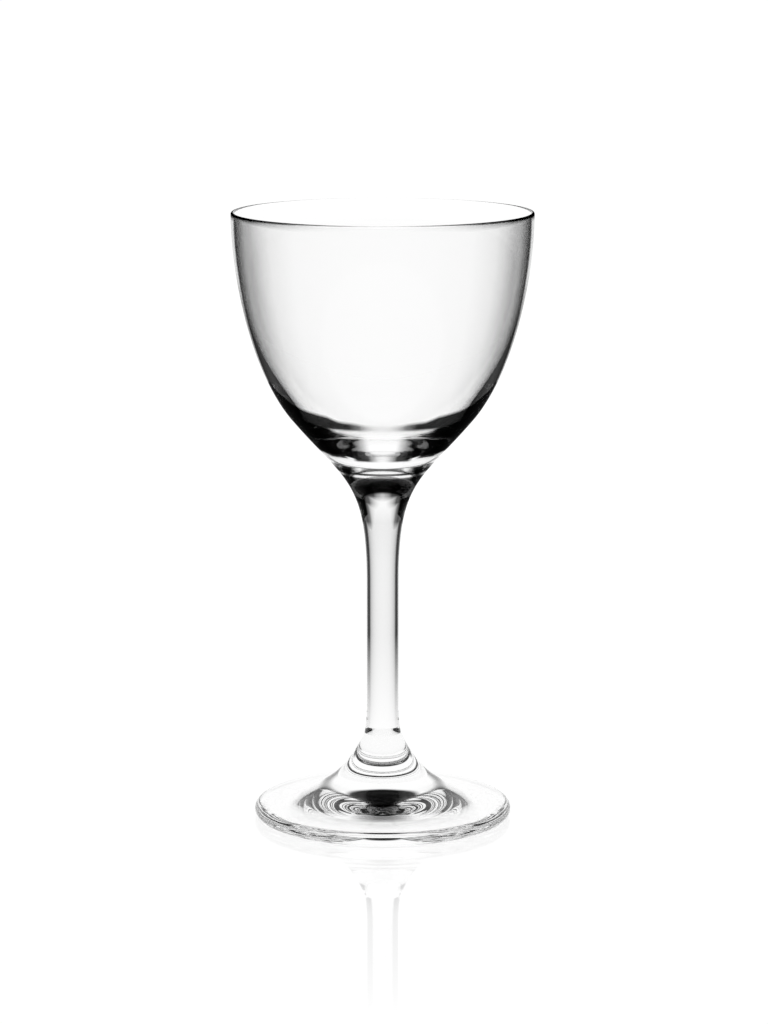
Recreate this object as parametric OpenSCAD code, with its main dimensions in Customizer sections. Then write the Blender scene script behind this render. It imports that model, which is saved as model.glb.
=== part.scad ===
// A nick and nora glass in millimetres: a blown bowl, a drawn stem and a pressed foot,
// each turned about the upright axis and fused to the next while hot. The origin is the
// middle of the plane that the foot rests on, and +Z runs up the stem to the rim.

/* [Bowl] */
// Height of the rim above the table
glass_h = 150; // [144:0.5:160]
// Outside diameter at the rim
rim_d = 73.4; // [70:0.2:78]
// Thickness of the wall at the rim, whose edge is melted round
wall = 0.9; // [0.7:0.05:1.3]
// Height of the round side, from the rim down to the heel
side_h = 50.8; // [47:0.2:54]
// Outside diameter of the heel, where the round side passes into the flare of the stem
heel_d = 44; // [41:0.2:46]
// Lean of the outline at the heel, in degrees from upright
heel_lean = 40.4; // [36:0.1:44]
// How far the side falls before it draws in, as a part of its height
fall_share = 0.3; // [0.24:0.001:0.42]
// How roundly the side meets the heel, as a part of its height
round_share = 0.308; // [0.2:0.001:0.36]
// How far the lowest point inside lies below the heel
well_drop = 7.5; // [6:0.1:8.5]
// How broad the flat middle of the well is, as a part of the heel's radius
flat_share = 0.43; // [0.3:0.01:0.55]
// How far the well sweeps out before it climbs the side, as a part of the heel's radius
well_share = 1.2; // [1:0.01:1.25]
// How far it rises on the way out there
well_rise = 6.4; // [4:0.1:9]
// How far the inside falls straight down from the rim, as a part of its depth
inside_share = 0.462; // [0.4:0.001:0.54]

/* [Stem] */
// Diameter of the stem where it is slimmest
stem_d = 7.8; // [7:0.1:9]
// Part of the way from the heel to the swelling over which the flare runs out
flare_share = 0.629; // [0.55:0.001:0.75]
// How far the outline runs on past the heel before it turns down, as a part of the flare
out_share = 0.493; // [0.4:0.001:0.52]
// How far the neck is drawn out above the straight stem, as a part of the flare
neck_share = 0.623; // [0.52:0.001:0.7]
// Part of the flare, counted from the heel, that was blown with the bowl
seam_share = 0.45; // [0.4:0.01:0.5]
// Length over which the stem swells towards the foot
swell_l = 14.6; // [11:0.1:21]
// Lean of the swelling where it reaches the foot, in degrees from upright
swell_lean = 12; // [8:0.5:18]

/* [Foot] */
// Diameter of the foot
foot_d = 63.5; // [60:0.5:68]
// Thickness of the foot at its round edge
edge_h = 3.4; // [2.6:0.1:4]
// Height of the seat that the stem is fused to, on top of the foot's cone
seat_h = 20.8; // [19:0.1:24]
// Diameter of that seat
seat_d = 9; // [8.6:0.1:10]
// Lean of the cone's side where it leaves the seat, in degrees from upright
cone_lean = 22.8; // [19:0.1:27]
// How far the cone runs on before it sweeps out, as a part of the seat's height
cone_share = 0.6; // [0.5:0.01:0.7]
// Fall of the plate's top where it meets the edge, in degrees
plate_fall = 5.2; // [3:0.1:7]
// How far the plate runs in before it sweeps up, as a part of the foot's radius
plate_share = 0.4; // [0.3:0.01:0.5]
// Width of the flat ring that stands on the table
rest_w = 1.6; // [1.2:0.1:4]
// Rise of the hollow under the middle of the foot
hollow_h = 3.7; // [0.5:0.1:4.5]
// How far the hollow stays low inside that ring, as a part of the ring's radius
low_share = 0.1; // [0.05:0.01:0.4]
// How broad the hollow's flat middle is, as a part of the ring's radius
high_share = 0.28; // [0.1:0.01:0.5]

/* [Hidden] */

$fn = 96;
clear_glass = [0.87, 0.91, 0.92, 0.45];

// Straight steps that stand for one curve, and for one rounded edge
curve_steps = 24;
edge_steps = 8;

rim_r = rim_d / 2;
stem_r = stem_d / 2;
seat_r = seat_d / 2;
foot_r = foot_d / 2;
edge_r = edge_h / 2;
lip_r = wall / 2;

// Points of an outline are [distance from the axis, height]. on_curve is one point of the
// smooth curve with the handles p, at the share t of its run: every two neighbours are
// blended, and the blends again, until one point is left.
function on_curve(p, t) =
    len(p) == 1 ? p[0]
    : on_curve([for (i = [0 : len(p) - 2]) (1 - t) * p[i] + t * p[i + 1]], t);

// The points of such a curve from the share a of its run to the share b
function curve(p, a = 0, b = 1, steps = curve_steps) =
    [for (i = [0 : steps]) on_curve(p, a + (b - a) * i / steps)];

// The points of an arc about c, from the bearing a to the bearing b
function arc(c, r, a, b, steps = edge_steps) =
    [for (i = [0 : steps]) c + r * [cos(a + (b - a) * i / steps), sin(a + (b - a) * i / steps)]];

function without_last(p) = [for (i = [0 : len(p) - 2]) p[i]];

// The outside, from the rim down: the round side of the bowl, then one flare that the
// bowl and the stem share, so that they run on smoothly across their seam
lip_at = glass_h - lip_r;
heel_h = glass_h - side_h;
heel_at = [heel_d / 2, heel_h];
heel_down = [-sin(heel_lean), -cos(heel_lean)];
fall_h = lip_at - heel_h;
side = [
    [rim_r, lip_at],
    [rim_r, lip_at - fall_h * fall_share],
    heel_at - fall_h * round_share * heel_down,
    heel_at
];
swell_h = seat_h + swell_l;
flare_h = (heel_h - swell_h) * flare_share;
neck_h = heel_h - flare_h;
flare = [
    heel_at,
    heel_at + flare_h * out_share * heel_down,
    [stem_r, neck_h + flare_h * neck_share],
    [stem_r, neck_h]
];
seam_at = on_curve(flare, seam_share);

// The inside of the bowl, from the middle of the well up to the rim
inside_r = rim_r - wall;
well_h = heel_h - well_drop;
inside = [
    [0, well_h],
    [heel_d / 2 * flat_share, well_h],
    [heel_d / 2 * well_share, well_h + well_rise],
    [inside_r, lip_at - (lip_at - well_h) * inside_share],
    [inside_r, lip_at]
];

// The swelling at the lower end of the stem, down to the seat on the foot
seat_at = [seat_r, seat_h];
straight_share = 0.5;
spread_share = 0.25;
swell = [
    [stem_r, swell_h],
    [stem_r, swell_h - swell_l * straight_share],
    seat_at + swell_l * spread_share * [-sin(swell_lean), cos(swell_lean)],
    seat_at
];

// The foot's top sweeps in one curve from the cone's side into the plate
plate_at = [foot_r - edge_r + edge_r * sin(plate_fall), edge_r + edge_r * cos(plate_fall)];
sweep = [
    seat_at,
    seat_at + seat_h * cone_share * [sin(cone_lean), -cos(cone_lean)],
    plate_at + foot_r * plate_share * [-cos(plate_fall), sin(plate_fall)],
    plate_at
];

// The foot's underside: a flat ring, and a hollow that falls to it from the middle
rest_r = foot_r - edge_r - rest_w;
hollow = [
    [rest_r, 0],
    [rest_r * (1 - low_share), 0],
    [rest_r * high_share, hollow_h],
    [0, hollow_h]
];

// Blown thin at the rim and left thick at the base, with the top of the flare below it
module bowl() {
    color(clear_glass)
        rotate_extrude()
            polygon(concat(
                without_last(curve(side)),
                curve(flare, 0, seam_share),
                [[0, seam_at[1]]],
                without_last(curve(inside)),
                without_last(arc([rim_r - lip_r, lip_at], lip_r, 180, 0))
            ));
}

// Drawn down from the bowl's base: the rest of the flare, a straight run and a swelling
module stem() {
    color(clear_glass)
        rotate_extrude()
            polygon(concat(
                curve(flare, seam_share, 1),
                curve(swell),
                [[0, seat_h], [0, seam_at[1]]]
            ));
}

// Pressed: a cone that sweeps out into a plate with a round edge, hollow underneath
module foot() {
    color(clear_glass)
        rotate_extrude()
            polygon(concat(
                [[0, seat_h]],
                without_last(curve(sweep)),
                arc([foot_r - edge_r, edge_r], edge_r, 90 - plate_fall, -90),
                curve(hollow)
            ));
}

bowl();
stem();
foot();
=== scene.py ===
"""A nick and nora glass, standing on a white table that mirrors it faintly."""

import math

import bpy
import numpy as np
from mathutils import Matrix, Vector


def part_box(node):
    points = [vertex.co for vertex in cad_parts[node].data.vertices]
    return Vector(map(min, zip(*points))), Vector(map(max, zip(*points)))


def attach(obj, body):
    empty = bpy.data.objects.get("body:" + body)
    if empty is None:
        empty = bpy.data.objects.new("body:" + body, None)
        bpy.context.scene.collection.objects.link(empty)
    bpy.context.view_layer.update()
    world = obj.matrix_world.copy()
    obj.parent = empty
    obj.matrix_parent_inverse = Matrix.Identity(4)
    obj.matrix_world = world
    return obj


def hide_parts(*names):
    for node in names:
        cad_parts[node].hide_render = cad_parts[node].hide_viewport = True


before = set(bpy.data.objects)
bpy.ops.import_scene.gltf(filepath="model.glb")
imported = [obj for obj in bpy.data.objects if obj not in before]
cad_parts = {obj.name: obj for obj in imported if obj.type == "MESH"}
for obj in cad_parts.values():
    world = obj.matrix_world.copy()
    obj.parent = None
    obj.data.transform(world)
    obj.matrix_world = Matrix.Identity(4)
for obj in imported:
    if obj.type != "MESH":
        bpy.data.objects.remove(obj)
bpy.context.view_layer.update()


# Bowl: blown, so its wall is thin and even at the rim and swells into a thick base. The
# rim is cut and then melted round. The top of the flare is drawn out of the same gather,
# and its lower face is where the stem goes on.
_, bowl_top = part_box("bowl")
rim_height = bowl_top.z
rim_radius = bowl_top.x
wall = 0.0009
side_drop = 0.0508
heel_height = rim_height - side_drop
heel_radius = 0.022
heel_lean = math.radians(40.4)
well_drop = 0.0075
well_height = heel_height - well_drop
well_rise = 0.0064
stem_radius = 0.0039
swell_height = 0.0354
flare_share = 0.629
flare_height = (heel_height - swell_height) * flare_share
neck_height = heel_height - flare_height

# How far the side falls before it draws in, and how roundly it meets the heel
fall_share = 0.3
round_share = 0.308
# How far the flare runs on past the heel, and how far the neck is drawn out
out_share = 0.493
neck_share = 0.623
# How broad the well's flat middle is, how far the well sweeps out, and how far the
# inside falls straight down from the rim
flat_share = 0.43
well_share = 1.2
inside_share = 0.462
# The part of the flare, counted from the heel, that is blown with the bowl
seam_share = 0.45


def bend(handles, start=0.0, end=1.0, steps=96):
    """Points along one smooth curve, from the share start of its run to the share end.
    Neighbouring handles are blended, and the blends again, until one point is left."""
    t = np.linspace(start, end, steps + 1)[:, None]
    points = [np.array(handle, float) for handle in handles]
    while len(points) > 1:
        points = [(1 - t) * a + t * b for a, b in zip(points, points[1:])]
    return points[0]


def rounded(centre, radius, start, end, steps):
    """Points along an arc about a centre, between two bearings in degrees."""
    t = np.radians(np.linspace(start, end, steps + 1))
    return np.array(centre) + radius * np.stack([np.cos(t), np.sin(t)], axis=1)


def turn(name, runs, around=256):
    """Turns an outline about the upright axis. Each run is (finish, points), listed so
    that the glass lies to the left. Two runs that meet at more than about 20 degrees
    leave a sharp corner."""
    smooth_cosine = 0.94
    on_axis = 1e-7
    points, run_of, sharp = [], [], []
    for number, (_, run) in enumerate(runs):
        run = [tuple(p) for p in run]
        if number:
            before = np.subtract(points[-1], points[-2])
            after = np.subtract(run[1], run[0])
            if before @ after < smooth_cosine * np.linalg.norm(before) * np.linalg.norm(after):
                sharp.append(len(points) - 1)
            run = run[1:]
        points += run
        run_of += [number] * (len(points) - 1 - len(run_of))
    finishes = list(dict.fromkeys(finish for finish, _ in runs))
    verts, rings = [], []
    for radius, height in points:
        if radius < on_axis:
            rings.append([len(verts)] * around)
            verts.append((0.0, 0.0, height))
        else:
            rings.append(list(range(len(verts), len(verts) + around)))
            for k in range(around):
                angle = 2 * math.pi * k / around
                verts.append((radius * math.cos(angle), radius * math.sin(angle), height))
    faces, slots = [], []
    for step, (lower, upper) in enumerate(zip(rings, rings[1:])):
        for k in range(around):
            n = (k + 1) % around
            corners = [lower[k], lower[n], upper[n], upper[k]]
            faces.append(list(dict.fromkeys(corners)))
            slots.append(finishes.index(runs[run_of[step]][0]))
    mesh = bpy.data.meshes.new(name)
    mesh.from_pydata(verts, [], faces)
    mesh.update()
    mesh.shade_smooth()
    mesh.polygons.foreach_set("material_index", slots)
    ring_of = {v: r for r, ring in enumerate(rings) for v in ring}
    edges = mesh.attributes.new("sharp_edge", "BOOLEAN", "EDGE")
    for edge in mesh.edges:
        a, b = (ring_of[v] for v in edge.vertices)
        if a == b and a in sharp:
            edges.data[edge.index].value = True
    for finish in finishes:
        mesh.materials.append(finish)
    piece = bpy.data.objects.new(name, mesh)
    bpy.context.scene.collection.objects.link(piece)
    return piece


def combine(tree, kind, first, second=0):
    """The result of a Math node. Each side is a number or another node's output."""
    node = tree.nodes.new("ShaderNodeMath")
    node.operation = kind
    for socket, value in zip(node.inputs, (first, second)):
        if isinstance(value, (int, float)):
            socket.default_value = value
        else:
            tree.links.new(value, socket)
    return node.outputs["Value"]


def fade(tree, value, start, end, low=0, high=1, kind="LINEAR"):
    """Goes from low to high while the value goes from start to end."""
    node = tree.nodes.new("ShaderNodeMapRange")
    node.interpolation_type = kind
    node.inputs["From Min"].default_value = start
    node.inputs["From Max"].default_value = end
    node.inputs["To Min"].default_value = low
    node.inputs["To Max"].default_value = high
    tree.links.new(value, node.inputs["Value"])
    return node.outputs["Result"]


# What melting and drawing leave on the skin of hot-worked glass: long slow waves that
# run round the piece, and a breath of haze here and there.
melt = bpy.data.node_groups.new("melt_marks", "ShaderNodeTree")
for socket in ("Waves", "Stretch", "Haze"):
    melt.interface.new_socket(socket, in_out="INPUT", socket_type="NodeSocketFloat")
for socket in ("Height", "Roughness"):
    melt.interface.new_socket(socket, in_out="OUTPUT", socket_type="NodeSocketFloat")
melt_in = melt.nodes.new("NodeGroupInput")
melt_out = melt.nodes.new("NodeGroupOutput")
place = melt.nodes.new("ShaderNodeTexCoord")
squeeze = melt.nodes.new("ShaderNodeCombineXYZ")
squeeze.inputs["X"].default_value = 1
squeeze.inputs["Y"].default_value = 1
drawn = melt.nodes.new("ShaderNodeVectorMath")
drawn.operation = "MULTIPLY"
wave = melt.nodes.new("ShaderNodeTexNoise")
wave.inputs["Detail"].default_value = 1
haze = melt.nodes.new("ShaderNodeTexNoise")
haze.inputs["Scale"].default_value = 60
haze.inputs["Detail"].default_value = 3
haze_amount = combine(melt, "MULTIPLY", haze.outputs["Fac"], melt_in.outputs["Haze"])
melt.links.new(melt_in.outputs["Stretch"], squeeze.inputs["Z"])
melt.links.new(place.outputs["Object"], drawn.inputs[0])
melt.links.new(squeeze.outputs["Vector"], drawn.inputs[1])
melt.links.new(drawn.outputs["Vector"], wave.inputs["Vector"])
melt.links.new(melt_in.outputs["Waves"], wave.inputs["Scale"])
melt.links.new(place.outputs["Object"], haze.inputs["Vector"])
melt.links.new(wave.outputs["Fac"], melt_out.inputs["Height"])
melt.links.new(haze_amount, melt_out.inputs["Roughness"])


def glass(name, shade_lines, waves, stretch, depth, haze_share):
    """Clear glass with painted shade: dark lines painted into it through a black coat, where it is
    seen edge on. Each painted line has pairs of (how far it turns away from the eye, how much painted
    shade it adds): surface is for the surface's own turn, and whole for that of the turned shape, as
    if upright.
    It comes in from the first to the second height of each two in heights, in metres,
    and ends at its top, pairs of (turn of the whole shape, height). Where lines meet,
    the darker one shows."""
    finish = bpy.data.materials.new(name)
    finish.use_nodes = True
    tree = finish.node_tree
    shader = tree.nodes["Principled BSDF"]
    shader.inputs["Base Color"].default_value = (1, 1, 1, 1)
    shader.inputs["Metallic"].default_value = 0
    shader.inputs["Transmission Weight"].default_value = 1
    shader.inputs["IOR"].default_value = 1.5
    shader.inputs["Specular Tint"].default_value = (0.25, 0.25, 0.25, 1)
    # A black coat that bends nothing: its weight is the painted shade, the share of the light it
    # blacks out
    shader.inputs["Coat IOR"].default_value = 1
    shader.inputs["Coat Tint"].default_value = (0, 0, 0, 1)
    marks = tree.nodes.new("ShaderNodeGroup")
    marks.node_tree = melt
    marks.inputs["Waves"].default_value = waves
    marks.inputs["Stretch"].default_value = stretch
    marks.inputs["Haze"].default_value = haze_share
    bump = tree.nodes.new("ShaderNodeBump")
    bump.inputs["Strength"].default_value = 1
    bump.inputs["Distance"].default_value = depth
    tree.links.new(marks.outputs["Height"], bump.inputs["Height"])
    tree.links.new(bump.outputs["Normal"], shader.inputs["Normal"])
    tree.links.new(marks.outputs["Roughness"], shader.inputs["Roughness"])
    if not shade_lines:
        return finish

    geometry = tree.nodes.new("ShaderNodeNewGeometry")
    split = tree.nodes.new("ShaderNodeSeparateXYZ")
    tree.links.new(geometry.outputs["Position"], split.inputs["Vector"])

    def by_turn(pairs, whole):
        turned = tree.nodes.new("ShaderNodeLayerWeight")
        turned.inputs["Blend"].default_value = 0.5
        tone = tree.nodes.new("ShaderNodeValToRGB")
        ramp = tone.color_ramp.elements
        while len(ramp) < len(pairs):
            ramp.new(0.5)
        for stop, (facing, value) in zip(ramp, pairs):
            stop.position = facing
            stop.color = (value, value, value, 1)
        tree.links.new(turned.outputs["Facing"], tone.inputs["Fac"])
        if whole:
            outward = tree.nodes.new("ShaderNodeCombineXYZ")
            unit = tree.nodes.new("ShaderNodeVectorMath")
            unit.operation = "NORMALIZE"
            tree.links.new(split.outputs["X"], outward.inputs["X"])
            tree.links.new(split.outputs["Y"], outward.inputs["Y"])
            tree.links.new(outward.outputs["Vector"], unit.inputs[0])
            tree.links.new(unit.outputs["Vector"], turned.inputs["Normal"])
        return tone.outputs["Color"]

    # The shade is painted on the outer side of the skin only, so that no line counts twice
    outer = combine(tree, "SUBTRACT", 1, geometry.outputs["Backfacing"])
    soft_edge = 0.0005
    darkest_shade = 0
    for shade_line in shade_lines:
        painted_shade = outer
        if "surface" in shade_line:
            painted_shade = combine(tree, "MULTIPLY", painted_shade, by_turn(shade_line["surface"], False))
        if "whole" in shade_line:
            painted_shade = combine(tree, "MULTIPLY", painted_shade, by_turn(shade_line["whole"], True))
        if "top" in shade_line:
            above = combine(tree, "SUBTRACT", split.outputs["Z"], by_turn(shade_line["top"], True))
            painted_shade = combine(tree, "MULTIPLY", painted_shade, fade(tree, above, soft_edge, -soft_edge))
        for faint, full in shade_line.get("heights", ()):
            painted_shade = combine(tree, "MULTIPLY", painted_shade, fade(tree, split.outputs["Z"], faint, full))
        darkest_shade = combine(tree, "MAXIMUM", darkest_shade, painted_shade)
    tree.links.new(darkest_shade, shader.inputs["Coat Weight"])
    return finish


# The painted shade lines of the bowl, which stand in for the dark lines that bent light draws in
# glass. Bending alone leaves them too weak under this plain light, so their places and strengths here
# and on the other pieces are set for the front view. They follow the eye round the glass. Empty lists
# leave the glass plain.
blown = {"waves": 45, "stretch": 0.3, "depth": 0.000002, "haze_share": 0.004}
# Painted shade along the bowl's sides
side_shade = {
    "whole": (
        (0, 0.03), (0.2, 0.06), (0.34, 0.16), (0.41, 0.29), (0.46, 0.4), (0.52, 0.53), (0.6, 0.63),
        (0.66, 0.78), (0.71, 0.87), (0.755, 0.93), (0.785, 0.96), (0.81, 0.65), (0.84, 0.3), (1, 0.25),
    ),
    "heights": ((0.094, 0.106),),
}
# Painted shade under the rim
under_rim_shade = {
    "whole": ((0, 0.04), (0.1, 0.14), (0.165, 0.24), (0.33, 0.6), (0.5, 0.92), (0.6, 0.97), (0.8, 1)),
    "heights": ((0.1477, 0.1495),),
}
# The painted dark crescent in the base: its upper edge climbs from the middle towards the sides,
# and only its horns reach down beside the lens
crescent_shade_top = (
    (0.024, 0.1012), (0.052, 0.1016), (0.116, 0.102), (0.176, 0.1031), (0.257, 0.1036),
    (0.346, 0.1041), (0.467, 0.1053), (0.574, 0.1072), (0.652, 0.1079), (0.704, 0.1091),
    (0.745, 0.1103), (0.82, 0.1095), (1, 0.109),
)
crescent_shade_upper = {
    "whole": ((0.006, 0), (0.02, 0.3), (0.045, 0.8), (0.08, 0.97), (0.8, 0.97), (1, 0.5)),
    "heights": ((0.0993, 0.1001),),
    "top": crescent_shade_top,
}
crescent_shade_horns = {
    "whole": (
        (0.15, 0), (0.21, 0.9), (0.3, 0.975), (0.7, 0.98), (0.77, 0.93), (0.83, 0.6), (1, 0.5),
    ),
    "heights": ((0.0918, 0.0925),),
    "top": crescent_shade_top,
}
# Painted shade beside the lens of glass under the well, and thin painted lines down to the seam
beside_lens_shade = {
    "whole": ((0.028, 0), (0.045, 0.4), (0.065, 0.7), (0.1, 0.88), (0.8, 0.88), (1, 0.5)),
    "heights": ((0.0982, 0.0972), (0.0918, 0.0925)),
}
under_lens_shade = {
    "whole": ((0.012, 0), (0.022, 0.5), (0.04, 0.95), (0.1, 0.95), (0.14, 0)),
    "heights": ((0.0935, 0.0925), (0.0908, 0.0913)),
}
# A painted dark line at the seam, and painted shade at its ends
seam_shade_line = {
    "whole": ((0, 0.8), (0.1, 0.95), (1, 0.9)),
    "heights": ((0.0877, 0.0875), (0.0869, 0.0871)),
}
seam_end_shade = {
    "whole": ((0.1, 0), (0.2, 0.85), (1, 0.85)),
    "heights": ((0.0888, 0.0882), (0.0869, 0.0871)),
}
# Painted shade on the neck, which runs on across the seam into the stem
neck_shade = {
    "whole": ((0, 0.78), (0.1, 0.88), (1, 0.92)),
    "heights": ((0.0865, 0.0861), (0.0818, 0.083)),
}
bowl_outside = glass("bowl_outside", [
    side_shade, under_rim_shade, crescent_shade_upper, crescent_shade_horns, beside_lens_shade, under_lens_shade,
    seam_shade_line, seam_end_shade, neck_shade,
], **blown)
bowl_inside = glass("bowl_inside", [], **blown)
# Painted shade along the rim's lip, dark where it is seen edge on
lip_shade = {
    "surface": ((0.1, 0), (0.25, 0.9), (0.5, 1)),
    "whole": ((0, 0.08), (0.04, 0.6), (0.12, 0.9), (0.25, 1)),
}
bowl_rim = glass("bowl_rim", [lip_shade], **blown)

# Where two pieces of glass are melted together nothing can be seen, so light goes
# straight through the faces that touch.
fused = bpy.data.materials.new("fused_face")
fused.use_nodes = True
fused.node_tree.nodes.clear()
fused_clear = fused.node_tree.nodes.new("ShaderNodeBsdfTransparent")
fused_out = fused.node_tree.nodes.new("ShaderNodeOutputMaterial")
fused.node_tree.links.new(fused_clear.outputs["BSDF"], fused_out.inputs["Surface"])

lip = wall / 2
lip_height = rim_height - lip
heel_down = np.array([-math.sin(heel_lean), -math.cos(heel_lean)])
heel = np.array([heel_radius, heel_height])
side_height = lip_height - heel_height
side = [
    (rim_radius, lip_height),
    (rim_radius, lip_height - side_height * fall_share),
    heel - side_height * round_share * heel_down,
    heel,
]
flare = [
    heel,
    heel + flare_height * out_share * heel_down,
    (stem_radius, neck_height + flare_height * neck_share),
    (stem_radius, neck_height),
]
inside = [
    (0, well_height),
    (heel_radius * flat_share, well_height),
    (heel_radius * well_share, well_height + well_rise),
    (rim_radius - wall, lip_height - (lip_height - well_height) * inside_share),
    (rim_radius - wall, lip_height),
]
bowl_flare = bend(flare, 0, seam_share)
seam_height = bowl_flare[-1][1]
bowl_skin = np.concatenate([bowl_flare[::-1][:-1], bend(side)[::-1]])
# The lip is round from the outside, at 0 degrees, to the inside, at 180, and the finish
# of its outer part runs a little past the top
lip_centre = (rim_radius - lip, lip_height)
lip_turn = 100
bowl = turn("bowl_glass", [
    (fused, [(0, seam_height), bowl_skin[0]]),
    (bowl_outside, bowl_skin),
    (bowl_rim, rounded(lip_centre, lip, 0, lip_turn, steps=14)),
    (bowl_inside, np.concatenate([
        rounded(lip_centre, lip, lip_turn, 180, steps=12)[:-1],
        bend(inside, steps=160)[::-1],
    ])),
])
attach(bowl, "root")
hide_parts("bowl")

# Stem: pulled down out of the hot base of the bowl, which leaves the flare above it, a
# straight run, and a slight swelling where its end is pressed onto the foot.
stem_end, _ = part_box("stem")
seat_height = stem_end.z
seat_radius = 0.0045
swell_length = swell_height - seat_height
swell_lean = math.radians(12)
straight_share = 0.5
spread_share = 0.25
swell = [
    (stem_radius, swell_height),
    (stem_radius, swell_height - swell_length * straight_share),
    np.array([seat_radius, seat_height])
    + swell_length * spread_share * np.array([-math.sin(swell_lean), math.cos(swell_lean)]),
    (seat_radius, seat_height),
]
stem_skin = np.concatenate([bend(swell, steps=48)[::-1], bend(flare, seam_share, 1)[::-1]])
# Painted shade on the stem's two sides, and on the neck, where the painted lines widen until they meet
# at a painted dark cap
stem_side_shade = {
    "whole": (
        (0, 0.13), (0.1, 0.18), (0.18, 0.26), (0.28, 0.4), (0.35, 0.55), (0.42, 0.92),
        (0.53, 0.97), (0.66, 0.86), (0.8, 0.5), (1, 0.4),
    ),
    "heights": ((0.018, 0.046), (0.0795, 0.0745)),
}
neck_side_shade = {
    "whole": (
        (0, 0), (0.05, 0.03), (0.1, 0.2), (0.14, 0.35), (0.2, 0.8), (0.3, 0.92), (0.8, 0.7), (1, 0.4),
    ),
    "heights": ((0.071, 0.0745),),
}
neck_closing_shade = {
    "whole": ((0, 0), (0.02, 0.02), (0.07, 0.4), (0.146, 0.9), (0.8, 0.95), (1, 0.6)),
    "heights": ((0.0775, 0.0795),),
}
neck_cap_shade = {
    "whole": ((0, 0.03), (0.02, 0.55), (0.06, 0.92), (1, 0.92)),
    "heights": ((0.0798, 0.0814),),
}
stem_finish = glass(
    "stem_glass", [stem_side_shade, neck_side_shade, neck_closing_shade, neck_cap_shade, neck_shade],
    waves=60, stretch=0.1, depth=0.000002, haze_share=0.004,
)
stem = turn("stem_glass", [
    (fused, [(0, seat_height), stem_skin[0]]),
    (stem_finish, stem_skin),
    (fused, [stem_skin[-1], (0, seam_height)]),
])
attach(stem, "root")
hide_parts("stem")

# Foot: pressed in a mould while the stem's end sinks into it. A cone under the stem sweeps
# out into a flat plate with a round edge. Underneath it is hollow, so it stands on a ring.
_, foot_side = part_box("foot")
foot_radius = foot_side.x
edge = 0.0017
rest_width = 0.0016
hollow_height = 0.0037
cone_lean = math.radians(22.8)
cone_share = 0.6
plate_fall = math.radians(5.2)
plate_share = 0.4
low_share = 0.1
high_share = 0.28
plate_end = np.array([
    foot_radius - edge + edge * math.sin(plate_fall),
    edge + edge * math.cos(plate_fall),
])
sweep = [
    (seat_radius, seat_height),
    (
        seat_radius + seat_height * cone_share * math.sin(cone_lean),
        seat_height - seat_height * cone_share * math.cos(cone_lean),
    ),
    plate_end + foot_radius * plate_share * np.array([-math.cos(plate_fall), math.sin(plate_fall)]),
    plate_end,
]
rest_radius = foot_radius - edge - rest_width
hollow = [
    (rest_radius, 0),
    (rest_radius * (1 - low_share), 0),
    (rest_radius * high_share, hollow_height),
    (0, hollow_height),
]
edge_centre = (foot_radius - edge, edge)
foot_edge = rounded(edge_centre, edge, -90, 90 - math.degrees(plate_fall), steps=40)
foot_top = bend(sweep, steps=128)[::-1]
pressed = {"waves": 60, "stretch": 1, "depth": 0.000004}
# Painted shade on the cone under the stem, darkest where it faces the eye
cone_ring_shade = {
    "whole": ((0, 0.95), (0.02, 0.9), (0.06, 0.5), (0.1, 0)),
    "heights": ((0.0088, 0.0082), (0.0042, 0.0046)),
}
foot_finish = glass("foot_glass", [cone_ring_shade], **pressed, haze_share=0.006)
# The round edge is hazier than the rest of the glass
edge_finish = glass("foot_edge", [], **pressed, haze_share=0.1)
foot = turn("foot_glass", [
    (foot_finish, bend(hollow)[::-1]),
    (foot_finish, [(rest_radius, 0), foot_edge[0]]),
    (edge_finish, foot_edge),
    (foot_finish, foot_top),
    (fused, [foot_top[-1], (0, seat_height)]),
])
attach(foot, "root")
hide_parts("foot")

# Table: a broad sheet of white acrylic, lit so evenly that it looks plain white. Its
# polish gives a faint mirror image, which the camera sees fade out away from the foot,
# and a small share of the sheet takes the glass's shadow.
table_mesh = bpy.data.meshes.new("table")
reach = 12
table_mesh.from_pydata(
    [(-reach, -reach, 0), (reach, -reach, 0), (reach, reach, 0), (-reach, reach, 0)],
    [], [(0, 1, 2, 3)],
)
table = bpy.data.objects.new("table", table_mesh)
clearance = 0.0001
table.location.z = -clearance
bpy.context.scene.collection.objects.link(table)


def mixed(tree, share, first, second):
    """Goes from the first number or output to the second as the share goes from 0 to 1."""
    node = tree.nodes.new("ShaderNodeMix")
    node.data_type = "FLOAT"
    for socket, value in (("Factor", share), ("A", first), ("B", second)):
        if isinstance(value, (int, float)):
            node.inputs[socket].default_value = value
        else:
            tree.links.new(value, node.inputs[socket])
    return node.outputs["Result"]


acrylic = bpy.data.materials.new("white_acrylic")
acrylic.use_nodes = True
tree = acrylic.node_tree
tree.nodes.clear()
ray = tree.nodes.new("ShaderNodeLightPath")

# The sheet glows evenly, but less for steep rays that were last mirrored in the glass
# and come from afar, which keeps the dark shapes in the bowl's base dark.
steep = tree.nodes.new("ShaderNodeLayerWeight")
steep.inputs["Blend"].default_value = 0.5
steep_turn, shallow_turn = 0.35, 0.75
dim_glow, shallow_glow, plain_glow = 0.05, 1.02, 1.04
dimmed = fade(
    tree, steep.outputs["Facing"], steep_turn, shallow_turn,
    low=dim_glow, high=shallow_glow, kind="SMOOTHSTEP",
)
mirrored = combine(tree, "SUBTRACT", ray.outputs["Is Glossy Ray"], ray.outputs["Is Transmission Ray"])
afar = 0.05
far = combine(tree, "GREATER_THAN", ray.outputs["Ray Length"], afar)
from_afar = combine(tree, "MULTIPLY", mirrored, far)
glow = tree.nodes.new("ShaderNodeEmission")
glow.inputs["Color"].default_value = (1, 1, 1, 1)
tree.links.new(mixed(tree, from_afar, plain_glow, dimmed), glow.inputs["Strength"])
matt = tree.nodes.new("ShaderNodeBsdfDiffuse")
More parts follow.
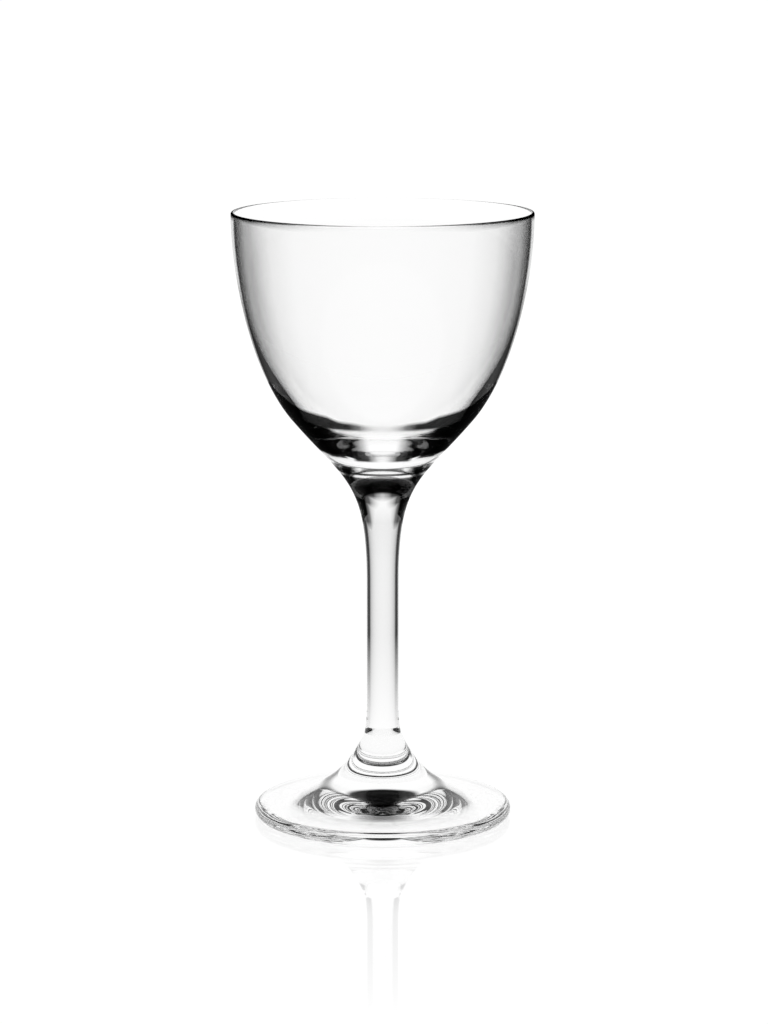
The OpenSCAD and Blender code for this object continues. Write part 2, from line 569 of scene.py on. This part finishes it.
matt.inputs["Color"].default_value = (0.9, 0.9, 0.9, 1)
shadow_share = 0.06
lit = tree.nodes.new("ShaderNodeMixShader")
lit.inputs["Fac"].default_value = shadow_share
tree.links.new(glow.outputs["Emission"], lit.inputs[1])
tree.links.new(matt.outputs["BSDF"], lit.inputs[2])

# The share that the sheet mirrors: for the camera, pairs of (distance from the axis in
# metres, share), and for all other rays that of its thin polish.
image_pairs = (
    (0.033, 0.15), (0.045, 0.22), (0.055, 0.42), (0.062, 0.4),
    (0.085, 0.16), (0.12, 0.1), (0.14, 0.06), (0.165, 0),
)
sheet_place = tree.nodes.new("ShaderNodeNewGeometry")
outwards = tree.nodes.new("ShaderNodeVectorMath")
outwards.operation = "LENGTH"
tree.links.new(sheet_place.outputs["Position"], outwards.inputs[0])
image = tree.nodes.new("ShaderNodeFloatCurve")
spots = image.mapping.curves[0].points
for spot, pair in zip(spots, image_pairs):
    spot.location = pair
for pair in image_pairs[len(spots):]:
    spots.new(*pair)
for spot in spots:
    spot.handle_type = "VECTOR"
image.mapping.update()
tree.links.new(outwards.outputs["Value"], image.inputs["Value"])
gloss = tree.nodes.new("ShaderNodeFresnel")
gloss.inputs["IOR"].default_value = 1.165
mirror_share = mixed(tree, ray.outputs["Is Camera Ray"], gloss.outputs["Fac"], image.outputs["Value"])
polish = tree.nodes.new("ShaderNodeBsdfGlossy")
polish.inputs["Color"].default_value = (1, 1, 1, 1)
polish.inputs["Roughness"].default_value = 0.02
sheet = tree.nodes.new("ShaderNodeMixShader")
tree.links.new(mirror_share, sheet.inputs["Fac"])
tree.links.new(lit.outputs["Shader"], sheet.inputs[1])
tree.links.new(polish.outputs["BSDF"], sheet.inputs[2])
sheet_out = tree.nodes.new("ShaderNodeOutputMaterial")
tree.links.new(sheet.outputs["Shader"], sheet_out.inputs["Surface"])
table_mesh.materials.append(acrylic)

# Studio: a white room. Black cards stand over and around the glass, with one gap behind
# it and a white strip at the foot of the walls, as glass is lit against a bright ground.
# Only light bent by the glass meets the cards.
studio = bpy.data.worlds.new("studio")
bpy.context.scene.world = studio
studio.use_nodes = True
tree = studio.node_tree
tree.nodes.clear()
card_light = 0.01
card_foot, card_full = math.radians(25), math.radians(33)
gap_side, gap_end = math.radians(26), math.radians(34)
strip_top = math.radians(8)
toward = tree.nodes.new("ShaderNodeTexCoord")
split = tree.nodes.new("ShaderNodeSeparateXYZ")
tree.links.new(toward.outputs["Generated"], split.inputs["Vector"])
top_card = fade(
    tree, split.outputs["Z"], math.sin(card_foot), math.sin(card_full),
    low=1, high=card_light, kind="SMOOTHSTEP",
)
bearing = combine(tree, "ARCTAN2", split.outputs["X"], split.outputs["Y"])
aside = combine(tree, "ABSOLUTE", bearing)
side_cards = fade(tree, aside, gap_side, gap_end, low=1, high=card_light, kind="SMOOTHSTEP")
# The strip stands above the horizon only for rays not mirrored on their way, or the
# inner faces would pick up loose specks of it
ray = tree.nodes.new("ShaderNodeLightPath")
one_mirror = 0.5
straight = combine(tree, "LESS_THAN", ray.outputs["Glossy Depth"], one_mirror)
strip = combine(tree, "MULTIPLY", straight, math.sin(strip_top))
below = combine(tree, "LESS_THAN", split.outputs["Z"], strip)
opening = combine(tree, "MAXIMUM", side_cards, below)
ground = combine(tree, "MULTIPLY", opening, top_card)
background = tree.nodes.new("ShaderNodeBackground")
background.inputs["Color"].default_value = (1, 1, 1, 1)
room_light = mixed(tree, ray.outputs["Is Transmission Ray"], 1, ground)
tree.links.new(room_light, background.inputs["Strength"])
world_out = tree.nodes.new("ShaderNodeOutputWorld")
tree.links.new(background.outputs["Background"], world_out.inputs["Surface"])

# Camera: a long lens, a little above the rim and looking down at the foot.
lens = bpy.data.cameras.new("camera")
lens.sensor_width = 36
lens.lens = 123.27
lens.clip_start = 0.01
look_down = 10.334
camera = bpy.data.objects.new("camera", lens)
camera.location = (0.00033, -0.846, 0.2305)
camera.rotation_euler = (math.radians(90 - look_down), 0, 0)
bpy.context.scene.collection.objects.link(camera)
bpy.context.scene.camera = camera

# Light passes many faces of clear glass before it is lost
scene = bpy.context.scene
scene.view_settings.view_transform = "Standard"
scene.cycles.max_bounces = 32
scene.cycles.transmission_bounces = 24
scene.cycles.glossy_bounces = 24
scene.cycles.transparent_max_bounces = 24
